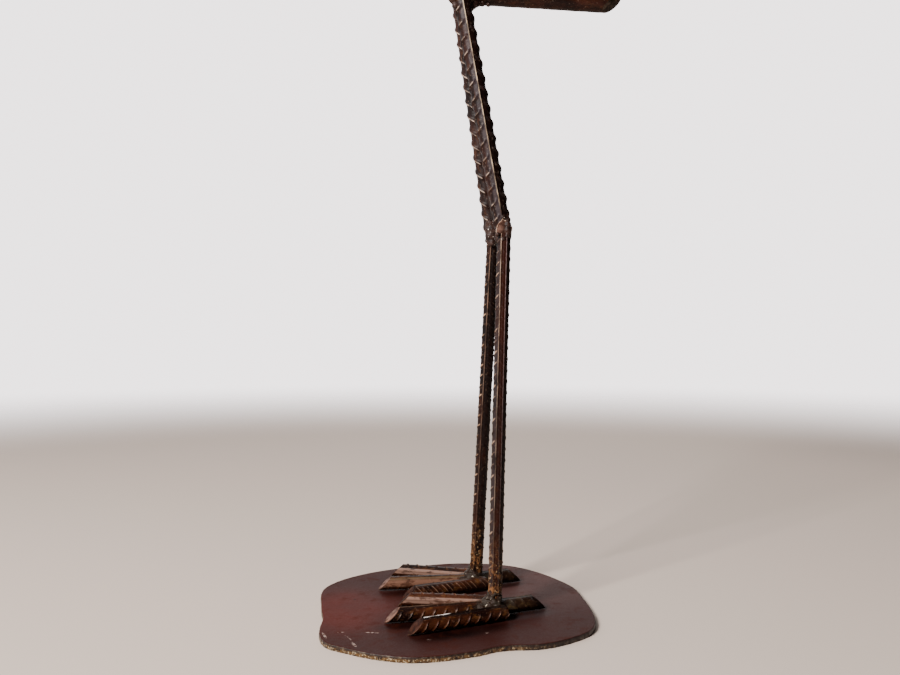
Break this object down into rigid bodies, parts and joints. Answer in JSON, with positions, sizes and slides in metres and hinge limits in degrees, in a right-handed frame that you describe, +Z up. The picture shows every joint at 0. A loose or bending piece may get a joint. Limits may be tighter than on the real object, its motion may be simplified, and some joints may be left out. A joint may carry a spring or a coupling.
{
  "type": "metal flamingo sculpture",
  "caption": "Standing long-legged wading bird welded from ribbed and round steel bar, on a flat torch-cut plate.",
  "frame": {"origin": "middle of the base plate's underside", "axes": "+Z up, -X the way the beak looks, +Y the bird's right side"},
  "size_m": [0.4659, 0.2709, 1.1323],
  "materials": {
    "plate": "satin dark maroon-brown paint, worn to metal on the cut edge",
    "ribbed_bar": "dark bronze-brown paint, rubbed bright on the ribs",
    "body_bar": "dark red-brown paint with streaks of bronze",
    "weld": "grey-green weld metal under thin brown paint"
  },
  "bodies": {
    "root": {"base_plate": "plate", "near_inner_toe": "ribbed_bar", "near_middle_toe": "ribbed_bar", "near_outer_toe": "ribbed_bar", "near_back_toe": "ribbed_bar", "near_lower_leg": "ribbed_bar", "near_upper_leg": "ribbed_bar", "near_ankle_weld": "weld", "far_outer_toe": "ribbed_bar", "far_middle_toe": "ribbed_bar", "far_inner_toe": "ribbed_bar", "far_back_toe": "ribbed_bar", "far_lower_leg": "ribbed_bar", "far_upper_leg": "ribbed_bar", "far_ankle_weld": "weld", "keel_bar": "body_bar", "back_bar": "body_bar", "lower_tail_bar": "body_bar", "middle_tail_bar": "body_bar", "upper_tail_bar": "body_bar", "near_wing_feather_1": "body_bar", "near_wing_feather_2": "body_bar", "near_wing_feather_3": "body_bar", "near_wing_feather_4": "body_bar", "near_wing_feather_5": "body_bar", "near_wing_feather_6": "body_bar", "near_wing_feather_7": "body_bar", "near_wing_feather_8": "body_bar", "near_shoulder_feather_1": "body_bar", "near_shoulder_feather_2": "body_bar", "near_shoulder_feather_3": "body_bar", "near_shoulder_feather_4": "body_bar", "near_shoulder_feather_5": "body_bar", "far_wing_feather_1": "body_bar", "far_wing_feather_2": "body_bar", "far_wing_feather_3": "body_bar", "far_wing_feather_4": "body_bar", "far_wing_feather_5": "body_bar", "far_wing_feather_6": "body_bar", "far_wing_feather_7": "body_bar", "far_wing_feather_8": "body_bar", "far_shoulder_feather_1": "body_bar", "far_shoulder_feather_2": "body_bar", "far_shoulder_feather_3": "body_bar", "far_shoulder_feather_4": "body_bar", "far_shoulder_feather_5": "body_bar", "neck_bar": "body_bar", "nape_bar": "body_bar", "near_neck_bar": "body_bar", "far_neck_bar": "body_bar", "head": "body_bar", "upper_beak": "body_bar", "lower_beak": "body_bar", "near_eye": "weld", "far_eye": "weld"}
  },
  "joints": []
}
